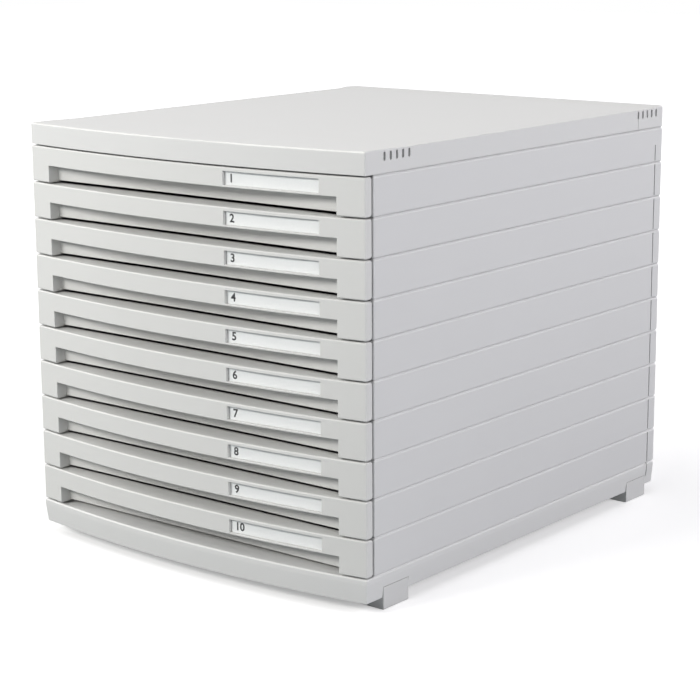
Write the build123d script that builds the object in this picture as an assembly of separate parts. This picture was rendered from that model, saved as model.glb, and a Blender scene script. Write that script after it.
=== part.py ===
from build123d import *
import math
import os

# A desktop box of ten closed drawers for letters and papers, moulded in plastic.
# All sizes are in millimetres.  X runs from left to right, Y from the front to the
# back and Z up.  While a piece is made, y = 0 is the plane of the two front corners
# and z = 0 is the level that the piece stands on.

# The whole box
tier_count = 10
width = 280.0
side_depth = 340.0
front_bow = 11.5
tier_pitch = 24.2
lid_height = 14.5
base_height = 16.0
foot_drop = 8.0
rear_corner_radius = 6.0
edge_bevel = 0.6

# Housings, one for each drawer
side_wall = 3.0
rear_wall = 2.4
joint_bevel = 1.2
shelf_thickness = 1.6
shelf_setback = 12.0
rail_width = 2.4
rail_height = 1.6
rail_inset = 5.0
slit_width = 1.2
slit_depth = 2.2
slit_setback = 13.5
slit_margin = 0.4
top_slit_height = 12.0

# Tongue on each wall's top, and the groove over it
tongue_width = 0.8
tongue_height = 1.8
tongue_margin = 0.2
tongue_end_inset = 40.0
tongue_clearance = 0.2

# Drawer fronts
front_gap = 1.0
return_depth = 6.2
return_gap = 1.4
return_corner = 1.2
bar_height = 12.0
bar_wall = 2.2
leg_width = 19.0
leg_wall = 2.2
web_thickness = 1.8
panel_setback = 5.4
panel_thickness = 1.8
panel_side_gap = 0.5
panel_lift = 0.9

# Label pocket in the bar, and the card that it holds
label_width = 70.0
label_height = 8.6
label_setback = 65.8
label_margin = 1.0
label_depth = 2.6
label_lip = 0.5
pocket_wall = 1.4
card_thickness = 0.4
card_clearance = 0.3

# Drawer trays
tray_wall = 1.6
tray_side_gap = 3.2
tray_rear_gap = 2.6
tray_floor = 1.6
tray_headroom = 1.6
running_gap = 0.3
shoulder_overlap = 1.0
fin_width = 1.3
fin_height = 1.2
fin_gap = 0.5

# Drawer stops
travel = 240.0
stop_gap = 0.4
stop_clearance = 0.7
stop_level = 12.0
stop_height = 6.0
lug_length = 6.0
bump_length = 4.0

# Lid
lid_wall = 2.4
lid_plate = 2.0
panel_sink = 0.7
front_band = 14.0
front_slope = 25.0
rear_band = 10.0
rear_slope = 8.0
lid_round = 1.0
vent_count = 5
vent_pitch = 5.95
vent_width = 2.0
vent_height = 5.2
vent_depth = 3.4
vent_level = 7.7
vent_corner = 0.55
front_vent_setback = 18.0
rear_vent_setback = 13.7
seam_width = 0.5
seam_depth = 0.5
lid_rib_height = 5.0

# Base
base_plate = 2.2
plate_sink = 1.0
base_draft_height = 12.0
base_draft = 1.2
base_slit_height = 10.0
base_rib_height = 9.0
rib_thickness = 1.8

# Feet
foot_size = 25.0
front_foot_setback = 16.9
rear_foot_setback = 15.0
tab_height = 6.5
tab_thickness = 2.2
foot_clearance = 0.3
stem_size = 14.0
stem_height = 9.0
boss_wall = 2.0

# Levels and lines that follow from the sizes above
half_width = width / 2
bow_radius = (half_width**2 + front_bow**2) / (2 * front_bow)
bow_centre = bow_radius - front_bow
wall_inside = half_width - side_wall
housing_front = return_depth + return_gap
housing_rear = side_depth - rear_wall
panel_rear = panel_setback + panel_thickness
panel_half = wall_inside - panel_side_gap
recess_half = half_width - leg_width
label_offset = half_width - label_setback
front_bottom = front_gap / 2
front_top = tier_pitch - front_gap / 2
bar_bottom = front_top - bar_height
web_bottom = front_top - web_thickness
shelf_front = housing_front + shelf_setback
tray_half = wall_inside - tray_side_gap
tray_rear = housing_rear - tray_rear_gap
tray_bottom = shelf_thickness + rail_height + running_gap
tray_top = tier_pitch - tray_headroom
rail_outside = wall_inside - rail_inset
tongue_outside = half_width - joint_bevel - tongue_margin
slit_y = side_depth - slit_setback
lug_front = tray_rear - lug_length
base_level = foot_drop
plate_top = base_height - plate_sink
plate_bottom = plate_top - base_plate
first_tier_level = base_level + base_height
lid_level = first_tier_level + tier_count * tier_pitch
middle_y = (side_depth - front_bow) / 2


def box(x, y, z):
    """A box between two values on each axis."""
    size = [high - low for low, high in (x, y, z)]
    corner = (x[0], y[0], z[0])
    return Pos(*corner) * Box(*size, align=(Align.MIN, Align.MIN, Align.MIN))


def both_sides(solid):
    """A solid and its mirror image on the other side of the box."""
    return solid + mirror(solid, about=Plane.YZ)


def bow_y(x):
    """Where the bowed front stands at a distance x from the middle."""
    return bow_centre - math.sqrt(bow_radius**2 - x**2)


def bowed_face(reach, rear, inset=0.0):
    """A face from the bowed front, set back by inset, to a straight rear edge."""
    end_y = bow_y(reach) + inset
    bow = ThreePointArc((-reach, end_y), (0, inset - front_bow), (reach, end_y))
    sides = Polyline((reach, end_y), (reach, rear), (-reach, rear), (-reach, end_y))
    return make_face([*bow.edges(), *sides.edges()])


def footprint():
    """The outline of the lid and the base from above."""
    face = bowed_face(half_width, side_depth)
    return fillet(face.vertices().sort_by(Axis.Y)[-2:], rear_corner_radius)


def slits(low, high):
    """The upright slit near each rear corner of the side walls."""
    x = (half_width - slit_depth, half_width)
    y = (slit_y - slit_width / 2, slit_y + slit_width / 2)
    return both_sides(box(x, y, (low, high)))


def tongues(level):
    """The tongues that stand on the side walls and hold the next piece in line."""
    x = (tongue_outside - tongue_width, tongue_outside)
    y = (housing_front + tongue_end_inset, slit_y - tongue_end_inset)
    return both_sides(box(x, y, (level, level + tongue_height)))


def grooves():
    """The grooves under the side walls that go over the tongues below."""
    inner = tongue_outside - tongue_width - tongue_clearance
    x = (inner, tongue_outside + tongue_clearance)
    front = housing_front + tongue_end_inset - tongue_clearance
    rear = slit_y - tongue_end_inset + tongue_clearance
    return both_sides(box(x, (front, rear), (0, tongue_height + tongue_clearance)))


def housing(slit_top):
    """One tier: side walls, rear wall, a shelf with two rails, and the drawer stops."""
    outline = Rectangle(width, side_depth - housing_front, align=(Align.CENTER, Align.MIN))
    outline = fillet(outline.vertices().sort_by(Axis.Y)[-2:], rear_corner_radius)
    shell = extrude(Pos(0, housing_front) * outline, tier_pitch)
    shell = chamfer(shell.faces().sort_by(Axis.Z)[-1].edges(), joint_bevel)
    rim = shell.faces().sort_by(Axis.Z)[0]
    upright = shell.edges().filter_by(Axis.Z).sort_by(Axis.Y)[:2]
    shell = chamfer([*rim.edges(), *upright], edge_bevel)
    inside = (-wall_inside, wall_inside)
    shell -= box(inside, (housing_front, housing_rear), (shelf_thickness, tier_pitch))
    shell -= box(inside, (housing_front, shelf_front), (0, shelf_thickness))
    shell -= grooves()
    shell -= slits(edge_bevel + slit_margin, slit_top)
    shell += tongues(tier_pitch)
    rail_x = (rail_outside - rail_width, rail_outside)
    rail_z = (shelf_thickness, shelf_thickness + rail_height)
    shell += both_sides(box(rail_x, (shelf_front, housing_rear), rail_z))
    bump_rear = lug_front - travel - stop_gap
    bump_x = (tray_half + stop_clearance, wall_inside)
    bump_z = (stop_level - stop_gap, stop_level + stop_height + stop_gap)
    shell += both_sides(box(bump_x, (bump_rear - bump_length, bump_rear), bump_z))
    return shell


def drawer_front():
    """The bowed bar, its two legs, the web over them and the recessed grip panel."""
    height = front_top - front_bottom
    face = extrude(bowed_face(half_width, return_depth), height)
    face = chamfer(face.edges().filter_by(Axis.X), return_corner)
    ends = [edge for end in face.faces().filter_by(Axis.X) for edge in end.edges()]
    bows = face.edges().sort_by(SortBy.LENGTH)[-2:]
    face = chamfer([*ends, *bows], edge_bevel)
    face += extrude(bowed_face(panel_half - edge_bevel, panel_rear, edge_bevel), height)
    face = Pos(0, 0, front_bottom) * face
    hollow = bowed_face(half_width - leg_wall, panel_setback, bar_wall)
    hollow = extrude(Pos(0, 0, 0) * hollow, web_bottom)
    cheek_x = (recess_half, recess_half + leg_wall)
    cheeks = both_sides(box(cheek_x, (-front_bow, panel_setback), (0, tier_pitch))) & face
    recess = (-recess_half, recess_half)
    mouth = box(recess, (-2 * front_bow, panel_setback), (0, bar_bottom))
    under = box(recess, (-2 * front_bow, panel_rear), (0, front_bottom + panel_lift))
    return face - hollow + cheeks - mouth - under


def label_frame():
    """The place of the label: on the bow, square to it, at the foot of the pocket."""
    turn = math.degrees(math.asin(label_offset / bow_radius))
    level = bar_bottom + label_margin
    return Pos(0, bow_centre, level) * Rot(0, 0, turn) * Pos(0, -bow_radius, 0)


def pocket_back():
    """How far behind the bow's nearest point the pocket's flat back lies."""
    return label_depth + label_width**2 / (8 * bow_radius)


def label_pocket(front):
    """Thicken the bar behind the label, then sink the pocket into it."""
    reach = label_width / 2
    back = pocket_back()
    rear = (back - card_thickness, back + pocket_wall)
    around = (-reach - pocket_wall, reach + pocket_wall)
    block = box(around, rear, (-label_margin, web_bottom - bar_bottom - label_margin))
    front += label_frame() * block
    opening = box((-reach, reach), (-label_depth, back), (0, label_height))
    slot = box((-reach, reach), (back - 2 * card_thickness, back), (0, label_height + label_lip))
    return front - label_frame() * (opening + slot)


def label_card():
    """The card that slides behind the lip at the top of the pocket."""
    reach = label_width / 2 - card_clearance
    back = pocket_back()
    height = label_height + label_lip - card_clearance
    return label_frame() * box((-reach, reach), (back - card_thickness, back), (0, height))


def tray():
    """The tray behind the front: floor, walls, shoulders, guide fins and stop lugs."""
    long = (panel_rear, tray_rear)
    body = box((-tray_half, tray_half), long, (tray_bottom, tray_top))
    within = (tray_wall - tray_half, tray_half - tray_wall)
    room = box(within, (panel_rear, tray_rear - tray_wall), (tray_bottom + tray_floor, tray_top))
    shoulder_y = (panel_rear, shelf_front + shoulder_overlap)
    shoulders = box((tray_half, panel_half), shoulder_y, (tray_bottom, tray_top))
    fin_outside = rail_outside - rail_width - fin_gap
    fin_x = (fin_outside - fin_width, fin_outside)
    fins = box(fin_x, (shelf_front, tray_rear), (tray_bottom - fin_height, tray_bottom))
    lug_x = (tray_half, wall_inside - stop_clearance)
    lugs = box(lug_x, (lug_front, tray_rear), (stop_level, stop_level + stop_height))
    return body - room + both_sides(shoulders) + both_sides(fins) + both_sides(lugs)


def drawer():
    """One drawer, moulded in a piece with its front."""
    return label_pocket(drawer_front()) + tray()


def vents(first_y):
    """A row of upright slots in each side of the lid."""
    slot = Rectangle(vent_width, vent_height)
    slot = extrude(Plane.YZ * chamfer(slot.vertices(), vent_corner), vent_depth)
    row = [
        Pos(half_width - vent_depth, first_y + n * vent_pitch, vent_level + vent_height / 2) * slot
        for n in range(vent_count)
    ]
    return both_sides(Compound(children=row))


def ribs(low, high, inside, rear):
    """Crossed stiffening ribs under a plate."""
    web = rib_thickness / 2
    lines = None
    for x in (-width / 5, width / 5):
        rib = box((x - web, x + web), (0, rear), (low, high))
        lines = rib if lines is None else lines + rib
    for share in (0.25, 0.5, 0.75):
        y = share * side_depth
        lines += box((-inside, inside), (y - web, y + web), (low, high))
    return lines


def lid():
    """The top cover: bowed skirt, sunken top panel, vents and ribs."""
    shell = extrude(footprint(), lid_height)
    rim = shell.faces().sort_by(Axis.Z)[0]
    upright = shell.edges().filter_by(Axis.Z).sort_by(Axis.Y)[:2]
    shell = chamfer([*rim.edges(), *upright], edge_bevel)
    shell = fillet(shell.faces().sort_by(Axis.Z)[-1].edges(), lid_round)
    floor_level = lid_height - panel_sink
    slope_rear = side_depth - rear_band
    sunk = Polyline(
        (front_band, lid_height),
        (front_band + front_slope, floor_level),
        (slope_rear - rear_slope, floor_level),
        (slope_rear, lid_height),
        close=True,
    )
    shell -= extrude(Plane.YZ * make_face(sunk.edges()), half_width, both=True)
    cavity_top = floor_level - lid_plate
    inside = bowed_face(wall_inside, housing_rear, lid_wall)
    shell -= extrude(inside, cavity_top)
    shell += ribs(cavity_top - lid_rib_height, cavity_top, wall_inside, housing_rear)
    front_room = (-2 * front_bow, housing_front)
    shell -= box((-width, width), front_room, (-1, front_gap / 2))
    shell -= grooves()
    rear_row = side_depth - rear_vent_setback - (vent_count - 1) * vent_pitch
    shell -= vents(front_vent_setback)
    shell -= vents(rear_row)
    seam_x = (half_width - seam_depth, half_width)
    seam_y = (rear_row - seam_width / 2, rear_row + seam_width / 2)
    return shell - both_sides(box(seam_x, seam_y, (edge_bevel, vent_level + vent_width / 2)))


def foot_middle_x():
    """The middle of the right feet, whose outer faces are flush where their tabs end."""
    flush = base_draft * (1 - tab_height / base_draft_height)
    return half_width - flush - foot_size / 2


def foot():
    """A right foot: pad, stem for its socket and the tab that shows on the side."""
    reach = foot_size / 2
    pad = box((-reach, reach), (-reach, reach), (0, foot_drop))
    outer_edges = pad.faces().sort_by(Axis.Z)[0].edges()
    pad = chamfer(outer_edges, edge_bevel)
    tab_z = (foot_drop, foot_drop + tab_height)
    tab = box((reach - tab_thickness, reach), (-reach, reach), tab_z)
    stem = stem_size / 2
    post = box((-stem, stem), (-stem, stem), (foot_drop, foot_drop + stem_height))
    return pad + tab + post


def foot_places():
    """The middle of each foot by name."""
    x = foot_middle_x()
    front = front_foot_setback + foot_size / 2
    rear = side_depth - rear_foot_setback - foot_size / 2
    return {
        "foot_front_left": (-x, front),
        "foot_front_right": (x, front),
        "foot_rear_left": (-x, rear),
        "foot_rear_right": (x, rear),
    }


def foot_socket(x, y):
    """A square socket for a foot's stem, from the base's underside to its plate."""
    inner = stem_size / 2 + foot_clearance
    outer = inner + boss_wall
    tube = box((x - outer, x + outer), (y - outer, y + outer), (0, plate_bottom))
    return tube - box((x - inner, x + inner), (y - inner, y + inner), (0, plate_bottom))


def base():
    """The bottom tray: drafted skirt, sunken plate, ribs, foot sockets and notches."""
    angle = math.degrees(math.atan(base_draft / base_draft_height))
    outline = Pos(0, 0, base_draft_height) * footprint()
    shell = extrude(outline, base_draft_height, dir=(0, 0, -1), taper=angle)
    upper = extrude(outline, base_height - base_draft_height, dir=(0, 0, 1))
    shell += chamfer(upper.faces().sort_by(Axis.Z)[-1].edges(), joint_bevel)
    inside = bowed_face(wall_inside, housing_rear, lid_wall)
    shell -= extrude(inside, plate_bottom)
    shell -= extrude(Pos(0, 0, plate_top) * inside, plate_sink)
    shell += ribs(plate_bottom - base_rib_height, plate_bottom, wall_inside, housing_rear)
    shell += tongues(base_height)
    front_room = (-2 * front_bow, housing_front)
    shell -= box((-width, width), front_room, (base_height - front_gap / 2, base_height + 1))
    shell -= slits(base_height - base_slit_height, base_height)
    for x, y in foot_places().values():
        shell += foot_socket(x, y)
    reach = foot_size / 2 + foot_clearance
    notch_x = (foot_middle_x() + foot_size / 2 - tab_thickness - foot_clearance, half_width)
    for y in {place[1] for place in foot_places().values()}:
        shell -= both_sides(box(notch_x, (y - reach, y + reach), (0, tab_height + foot_clearance)))
    return shell


def write(name, solid, level=0.0):
    """Put a piece at its level, with the origin under the middle of the box."""
    export_step(Pos(0, -middle_y, level) * solid, f"parts/{name}.step")


os.makedirs("parts", exist_ok=True)

write("base", base(), base_level)
for name, (x, y) in foot_places().items():
    piece = foot() if x > 0 else mirror(foot(), about=Plane.YZ)
    write(name, Pos(x, y, 0) * piece)

tier = housing(tier_pitch - joint_bevel - slit_margin)
top_tier = housing(top_slit_height)
one_drawer = drawer()
one_card = label_card()
for number in range(1, tier_count + 1):
    level = lid_level - number * tier_pitch
    write(f"housing_{number:02d}", top_tier if number == 1 else tier, level)
    write(f"drawer_{number:02d}", one_drawer, level)
    write(f"label_card_{number:02d}", one_card, level)

write("top_cover", lid(), lid_level)
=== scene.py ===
import math

import bmesh
import bpy
from mathutils import Matrix, Vector


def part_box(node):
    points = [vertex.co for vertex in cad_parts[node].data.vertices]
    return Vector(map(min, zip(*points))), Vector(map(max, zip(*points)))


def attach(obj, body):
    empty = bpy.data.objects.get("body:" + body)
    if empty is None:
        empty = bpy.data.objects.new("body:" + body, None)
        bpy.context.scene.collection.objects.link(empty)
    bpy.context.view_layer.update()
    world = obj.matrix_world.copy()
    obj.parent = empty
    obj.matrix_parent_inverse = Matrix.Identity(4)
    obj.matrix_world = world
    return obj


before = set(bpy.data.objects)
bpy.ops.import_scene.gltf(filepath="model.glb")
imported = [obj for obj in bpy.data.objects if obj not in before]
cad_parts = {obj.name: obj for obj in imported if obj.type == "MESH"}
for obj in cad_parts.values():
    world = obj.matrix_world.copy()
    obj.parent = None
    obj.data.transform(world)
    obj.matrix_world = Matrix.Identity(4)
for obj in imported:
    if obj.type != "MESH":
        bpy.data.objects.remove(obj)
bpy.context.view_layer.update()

# A desktop box of ten drawers for letters and papers. Each section below is one piece or
# one group of like pieces, in the order in which the box is put together. Lengths are in
# metres, with X to the right, Y to the back and Z up, as the parts of the box have them.


# ---------------------------------------------------------------- feet
# Four square feet that plug into sockets under the base, each with a tab that shows on
# the box's side. They are injection moulded in the same light grey polystyrene as all
# the rest, from a mould that was spark eroded to a fine, even grain.


def linear(hex_colour):
    """An sRGB hex colour as linear red, green, blue and alpha."""
    channels = [int(hex_colour[n : n + 2], 16) / 255 for n in (1, 3, 5)]
    curve = [c / 12.92 if c <= 0.04045 else ((c + 0.055) / 1.055) ** 2.4 for c in channels]
    return (*curve, 1.0)


def add(tree, kind, inputs=None, **settings):
    """Add a shader node; inputs maps its sockets to values or to other nodes' outputs."""
    made = tree.nodes.new("ShaderNode" + kind)
    for name, value in settings.items():
        setattr(made, name, value)
    for socket, value in (inputs or {}).items():
        if isinstance(value, bpy.types.NodeSocket):
            tree.links.new(value, made.inputs[socket])
        else:
            made.inputs[socket].default_value = value
    return made


def empty_material(name):
    """A new material with nothing in it but its output."""
    material = bpy.data.materials.new(name)
    material.use_nodes = True
    material.node_tree.nodes.clear()
    return material, material.node_tree


# The sockets of a Mix node have like names, so they are told apart by their numbers.
share, first_value, second_value, first_colour, second_colour = 0, 2, 3, 6, 7
mixed_value, mixed_colour = 0, 2


def moulded_polystyrene(
    name, colour, pale_colour, edge_highlight_colour="#EDEDEB", edge_radius=0.0006
):
    """Impact polystyrene from a spark-eroded mould: an even satin, a little drier to the
    eye than gloss paint, with moulded edges that have rubbed duller and carry a painted
    highlight in a paler colour, and painted shade that darkens the narrow gaps."""
    grain = 0.0007  # the real grain is 0.2 mm; drawn coarser, so that it shows at all
    grain_depth = 0.00004
    cloud = 0.07  # how far apart the pigment and the sheen drift
    dullest_satin, glossiest_satin, rubbed_roughness = 0.54, 0.46, 0.64
    flat_likeness, edge_likeness = 0.995, 0.9
    inner_air, outer_air = 0.75, 0.95
    gap_reach = 0.004  # a gap narrower than this is painted darker, as shade
    gap_air, deep_air = 0.24, 0.04
    # the colour of the painted shade in the narrow gaps
    gap_shade_colour = "#4A4A46"
    material, tree = empty_material(name)
    place = add(tree, "TexCoord").outputs["Object"]

    # An edge is where the rounded surface turns away from the flat one. It rubs duller and
    # gets a painted highlight only if it stands out, and an inner corner has too little
    # open air before it for that.
    rounded = add(tree, "Bevel", {"Radius": edge_radius}, samples=6).outputs["Normal"]
    flat = add(tree, "NewGeometry").outputs["True Normal"]
    likeness = add(tree, "VectorMath", {0: rounded, 1: flat}, operation="DOT_PRODUCT")
    edge = add(
        tree,
        "MapRange",
        {
            "Value": likeness.outputs["Value"],
            "From Min": flat_likeness,
            "From Max": edge_likeness,
        },
    )
    air = add(tree, "AmbientOcclusion", {"Distance": gap_reach}, samples=8).outputs["AO"]
    outer = add(
        tree, "MapRange", {"Value": air, "From Min": inner_air, "From Max": outer_air}
    )
    edge_wear_and_highlight = add(
        tree, "Math", {0: edge.outputs[0], 1: outer.outputs[0]}, operation="MULTIPLY"
    )
    # painted shade: where ambient occlusion finds a narrow gap, the colour is darkened
    painted_gap_shade = add(tree, "MapRange", {"Value": air, "From Min": gap_air, "From Max": deep_air})

    drift = add(tree, "TexNoise", {"Vector": place, "Scale": 1 / cloud, "Detail": 3.0})
    pigment = add(
        tree,
        "Mix",
        {
            share: drift.outputs["Fac"],
            first_colour: linear(colour),
            second_colour: linear(pale_colour),
        },
        data_type="RGBA",
    )
    # painted highlight: the outer edges are mixed towards a paler colour
    painted_edge_highlight = add(
        tree,
        "Mix",
        {
            share: edge_wear_and_highlight.outputs[0],
            first_colour: pigment.outputs[mixed_colour],
            second_colour: linear(edge_highlight_colour),
        },
        data_type="RGBA",
    )
    # the painted shade is mixed into the colour where a gap is narrow
    with_painted_gap_shade = add(
        tree,
        "Mix",
        {
            share: painted_gap_shade.outputs[0],
            first_colour: painted_edge_highlight.outputs[mixed_colour],
            second_colour: linear(gap_shade_colour),
        },
        data_type="RGBA",
    )
    satin = add(
        tree,
        "MapRange",
        {
            "Value": drift.outputs["Fac"],
            "To Min": glossiest_satin,
            "To Max": dullest_satin,
        },
    )
    polish = add(
        tree,
        "Mix",
        {
            share: edge_wear_and_highlight.outputs[0],
            first_value: satin.outputs["Result"],
            second_value: rubbed_roughness,
        },
        data_type="FLOAT",
    )
    fine = add(tree, "TexNoise", {"Vector": place, "Scale": 1 / grain, "Detail": 2.0})
    relief = add(
        tree,
        "Bump",
        {
            "Height": fine.outputs["Fac"],
            "Normal": rounded,
            "Strength": 0.25,
            "Distance": grain_depth,
        },
    )
    plastic = add(
        tree,
        "BsdfPrincipled",
        {
            "Base Color": with_painted_gap_shade.outputs[mixed_colour],
            "Roughness": polish.outputs[mixed_value],
            "Normal": relief.outputs["Normal"],
            "IOR": 1.59,
        },
    )
    add(tree, "OutputMaterial", {"Surface": plastic.outputs["BSDF"]})
    return material


def finish_node(name, material):
    """Give one piece of the box its real finish."""
    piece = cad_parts[name]
    piece.data.materials.clear()
    piece.data.materials.append(material)


foot_plastic = moulded_polystyrene("moulded_polystyrene_foot", "#D6D6D5", "#DADAD9")
for corner in ("front_left", "front_right", "rear_left", "rear_right"):
    finish_node(f"foot_{corner}", foot_plastic)


# ---------------------------------------------------------------- base
# The tray under the tiers: a drafted skirt round a ribbed plate, moulded in one piece
# with the sockets for the feet.

base_plastic = moulded_polystyrene("moulded_polystyrene_base", "#DDDDDC", "#E1E1E0")
finish_node("base", base_plastic)


# ---------------------------------------------------------------- housings
# Ten shells, open at the front, that lock on each other by tongues and grooves. Each is
# one moulding with its shelf, its rails and the slit near each rear corner.

tier_count = 10
housing_plastic = moulded_polystyrene(
    "moulded_polystyrene_housing",
    "#D7D7D7",
    "#DBDBDB",
    # the housings' edges get a brighter painted highlight than the other pieces
    edge_highlight_colour="#F4F4F3",
    edge_radius=0.0011,  # the joint between two tiers is bevelled wider than other edges
)
for tier in range(1, tier_count + 1):
    finish_node(f"housing_{tier:02d}", housing_plastic)


# ---------------------------------------------------------------- drawers
# Ten trays, each moulded in one piece with its bowed front: a hooked bar over a recess
# for the fingertips, two legs, and a pocket for the label in the bar.

drawer_plastic = moulded_polystyrene("moulded_polystyrene_drawer", "#D8D8D6", "#DCDCDA")
for tier in range(1, tier_count + 1):
    finish_node(f"drawer_{tier:02d}", drawer_plastic)


# ---------------------------------------------------------------- label cards
# A strip of white card in each pocket, 0.4 mm thick, cut from a smooth sheet. It carries
# the drawer's number, printed in black.


def smooth_card(name):
    """White card: a matt sheet of pressed fibres, with a faint mottle and no gloss."""
    fibre = 0.0012  # the length of a fibre that shows in the sheet
    fibre_depth = 0.00002
    material, tree = empty_material(name)
    place = add(tree, "TexCoord").outputs["Object"]
    pulp = add(tree, "TexNoise", {"Vector": place, "Scale": 1 / fibre, "Detail": 4.0})
    paper = add(
        tree,
        "Mix",
        {
            share: pulp.outputs["Fac"],
            first_colour: linear("#F1F3F3"),
            second_colour: linear("#F8F9F9"),
        },
        data_type="RGBA",
    )
    relief = add(
        tree,
        "Bump",
        {"Height": pulp.outputs["Fac"], "Strength": 0.2, "Distance": fibre_depth},
    )
    sheet = add(
        tree,
        "BsdfPrincipled",
        {
            "Base Color": paper.outputs[mixed_colour],
            "Roughness": 0.8,
            "IOR": 1.45,
            "Normal": relief.outputs["Normal"],
        },
    )
    add(tree, "OutputMaterial", {"Surface": sheet.outputs["BSDF"]})
    return material


def printing_ink(name):
    """Black ink that has soaked into card: dull, and a little uneven where it is thin."""
    blotch = 0.0008  # how far apart the thin places lie
    material, tree = empty_material(name)
    place = add(tree, "TexCoord").outputs["Object"]
    cover = add(tree, "TexNoise", {"Vector": place, "Scale": 1 / blotch, "Detail": 2.0})
    tone = add(
        tree,
        "Mix",
        {
            share: cover.outputs["Fac"],
            first_colour: linear("#1C1C1F"),
            second_colour: linear("#2A2A2D"),
        },
        data_type="RGBA",
    )
    film = add(
        tree,
        "BsdfPrincipled",
        {"Base Color": tone.outputs[mixed_colour], "Roughness": 0.6, "IOR": 1.5},
    )
    add(tree, "OutputMaterial", {"Surface": film.outputs["BSDF"]})
    return material


card_paper = smooth_card("smooth_white_card")
ink = printing_ink("black_printing_ink")
card_length = 0.0694
card_thickness = 0.0004
label_turn = math.radians(4.9616)  # the pocket is square to the bow at its own place
number_inset = 0.0028  # from the card's left end
number_rise = 0.0019  # from the card's lower edge
digit_size = 0.0072
stroke_gain = 0.00018  # how far the ink has spread past a digit's outline
print_thickness = 0.00002


def printed_number(tier):
    """The drawer's number, upright on the face of its card."""
    text = bpy.data.curves.new(f"number_{tier:02d}", "FONT")
    text.body = str(tier)
    text.size = digit_size
    text.extrude = print_thickness / 2
    text.offset = stroke_gain
    text.resolution_u = 4
    writing = bpy.data.objects.new(f"number_{tier:02d}_text", text)
    bpy.context.scene.collection.objects.link(writing)
    bpy.context.view_layer.update()
    mesh = bpy.data.meshes.new_from_object(writing)
    bpy.data.objects.remove(writing)
    low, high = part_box(f"label_card_{tier:02d}")
    middle = (low + high) / 2
    ahead = (card_thickness + print_thickness) / 2
    upright = math.radians(90)
    place = (
        Matrix.Translation((middle.x, middle.y, low.z + number_rise))
        @ Matrix.Rotation(label_turn, 4, "Z")
        @ Matrix.Translation((number_inset - card_length / 2, -ahead, 0))
        @ Matrix.Rotation(upright, 4, "X")
    )
    mesh.transform(place)
    mesh.materials.clear()
    mesh.materials.append(ink)
    number = bpy.data.objects.new(f"number_{tier:02d}", mesh)
    bpy.context.scene.collection.objects.link(number)
    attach(number, f"sliding_drawer_{tier:02d}")


for tier in range(1, tier_count + 1):
    finish_node(f"label_card_{tier:02d}", card_paper)
    printed_number(tier)


# ---------------------------------------------------------------- top cover
# The lid that closes the top housing: a bowed skirt, a panel sunk between a front and a
# rear band, and two rows of vent slots in each side, in one moulding.

cover_plastic = moulded_polystyrene(
    # the lid's edges get a softer painted highlight
    "moulded_polystyrene_cover", "#D9D9D8", "#DDDDDC", edge_highlight_colour="#DFDFDD"
)
finish_node("top_cover", cover_plastic)


# ---------------------------------------------------------------- floor and surroundings
# A wide pale tabletop under the box, in a white room. Both show white where nothing
# stands on them, and the tabletop keeps the soft shadow of the box.


def shows_surroundings(tree):
    """1 where a ray shows the surroundings to the eye, straight, in a gloss or through
    clear material, and 0 where it only brings light."""
    rays = add(tree, "LightPath").outputs
    in_gloss = add(
        tree,
        "Math",
        {0: rays["Is Camera Ray"], 1: rays["Is Glossy Ray"]},
        operation="MAXIMUM",
    )
    in_all = add(
        tree,
        "Math",
        {0: in_gloss.outputs[0], 1: rays["Is Transmission Ray"]},
        operation="MAXIMUM",
    )
    return in_all.outputs[0]


def white_laminate(name):
    """A matt tabletop. It throws as much light on the box as a grey laminate does, and to
    the eye it is white, by a glow that grows where the lamps reach it less."""
    near, far = 0.3, 2.3
    near_glow, far_glow = 0.36, 1.05
    material, tree = empty_material(name)
    place = add(tree, "TexCoord").outputs["Object"]
    away = add(tree, "VectorMath", {0: place}, operation="LENGTH").outputs["Value"]
    lift = add(
        tree,
        "MapRange",
        {
            "Value": away,
            "From Min": near,
            "From Max": far,
            "To Min": near_glow,
            "To Max": far_glow,
        },
    )
    laminate = add(tree, "BsdfDiffuse", {"Color": linear("#949B9F"), "Roughness": 0.5})
    shown = add(tree, "BsdfDiffuse", {"Color": linear("#EEEEEE"), "Roughness": 0.5})
    glow = add(
        tree, "Emission", {"Color": linear("#FFFFFF"), "Strength": lift.outputs["Result"]}
    )
    bright = add(tree, "AddShader", {0: shown.outputs[0], 1: glow.outputs[0]})
    chosen = add(
        tree,
        "MixShader",
        {0: shows_surroundings(tree), 1: laminate.outputs[0], 2: bright.outputs[0]},
    )
    add(tree, "OutputMaterial", {"Surface": chosen.outputs[0]})
    return material


floor_reach = 6.0  # from its middle to each side
floor_mesh = bpy.data.meshes.new("floor")
plane = bmesh.new()
bmesh.ops.create_grid(plane, x_segments=1, y_segments=1, size=floor_reach)
plane.to_mesh(floor_mesh)
plane.free()
floor_mesh.materials.append(white_laminate("matt_white_laminate"))
floor = bpy.data.objects.new("floor", floor_mesh)
bpy.context.scene.collection.objects.link(floor)

world = bpy.data.worlds.new("white_room")
world.use_nodes = True
world_tree = world.node_tree
world_tree.nodes.clear()
walls = add(world_tree, "Background", {"Color": linear("#F4F6FA"), "Strength": 0.05})
white = add(world_tree, "Background", {"Color": linear("#FFFFFF"), "Strength": 1.0})
room = add(
    world_tree,
    "MixShader",
    {0: shows_surroundings(world_tree), 1: walls.outputs[0], 2: white.outputs[0]},
)
add(world_tree, "OutputWorld", {"Surface": room.outputs[0]})
bpy.context.scene.world = world


# ---------------------------------------------------------------- lamps
# Seven softboxes as in a product studio: two near ones in front, above the box, that draw
# the shadow of each bar on its recess, and five far ones for the sides, top and back.


box_middle = Vector((0, 0, 0.14))


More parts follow.
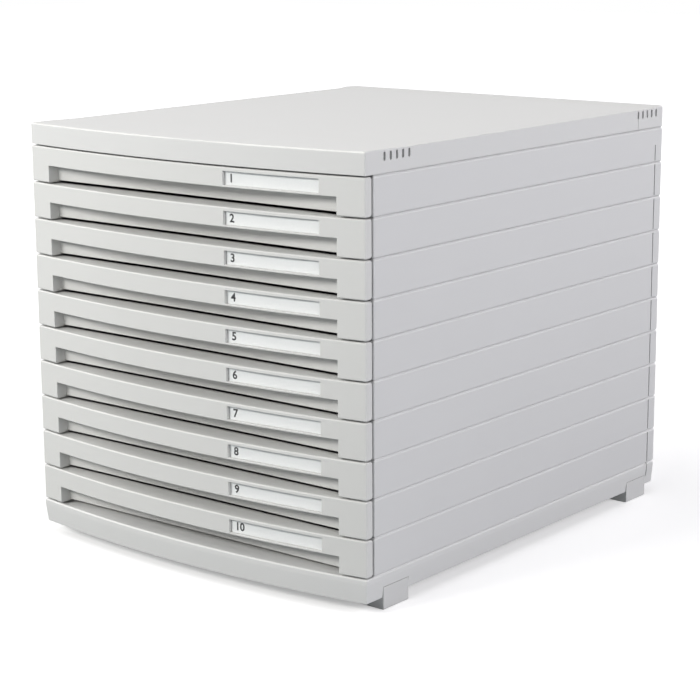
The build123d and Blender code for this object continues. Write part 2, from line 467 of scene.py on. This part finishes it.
def softbox(name, location, width, height, power, tint):
    """A soft rectangular lamp turned towards the middle of the box, its power in watts."""
    lamp = bpy.data.lights.new(name, "AREA")
    lamp.shape = "RECTANGLE"
    lamp.size = width
    lamp.size_y = height
    lamp.energy = power
    lamp.color = linear(tint)[:3]
    holder = bpy.data.objects.new(name, lamp)
    bpy.context.scene.collection.objects.link(holder)
    holder.location = location
    aim = box_middle - Vector(location)
    holder.rotation_euler = aim.to_track_quat("-Z", "Y").to_euler()


softbox("front_softbox", (-0.4, -1.35, 0.8), 0.6, 0.35, 12.1, "#FFFEFB")
softbox("high_front_softbox", (0.3, -1.7, 1.0), 0.6, 0.4, 2.5, "#FFFFFA")
softbox("left_softbox", (-2.4, -0.6, 1.5), 1.4, 1.4, 43.0, "#FFFEFC")
softbox("right_softbox", (2.4, -0.9, 1.2), 1.4, 1.4, 20.0, "#FDFCFF")
softbox("rear_right_softbox", (2.3, 0.7, 1.0), 1.4, 1.4, 24.5, "#FDFAFF")
softbox("rear_softbox", (0.2, 2.5, 0.8), 1.4, 1.4, 23.0, "#FBFAFF")
softbox("top_softbox", (0.0, 0.3, 2.2), 1.6, 1.6, 5.8, "#FFFFFF")


# ---------------------------------------------------------------- camera
# The camera stands to the right in front of the box, a little above its top, and looks
# slightly down. Its lens is worked out for a frame of 700 by 700 pixels.

frame_pixels = 700
focal_pixels = 1984.3
camera_place = (0.84009, -1.04929, 0.41490)
camera_turn = math.radians(38.817)
camera_dip = math.radians(12.49)
camera_roll = math.radians(-0.334)
camera_data = bpy.data.cameras.new("camera")
camera_data.sensor_width = 36.0
camera_data.lens = focal_pixels * camera_data.sensor_width / frame_pixels
camera = bpy.data.objects.new("camera", camera_data)
bpy.context.scene.collection.objects.link(camera)
camera.matrix_world = (
    Matrix.Translation(camera_place)
    @ Matrix.Rotation(camera_turn, 4, "Z")
    @ Matrix.Rotation(math.radians(90) - camera_dip, 4, "X")
    @ Matrix.Rotation(camera_roll, 4, "Z")
)
bpy.context.scene.camera = camera
bpy.context.scene.view_settings.view_transform = "Standard"
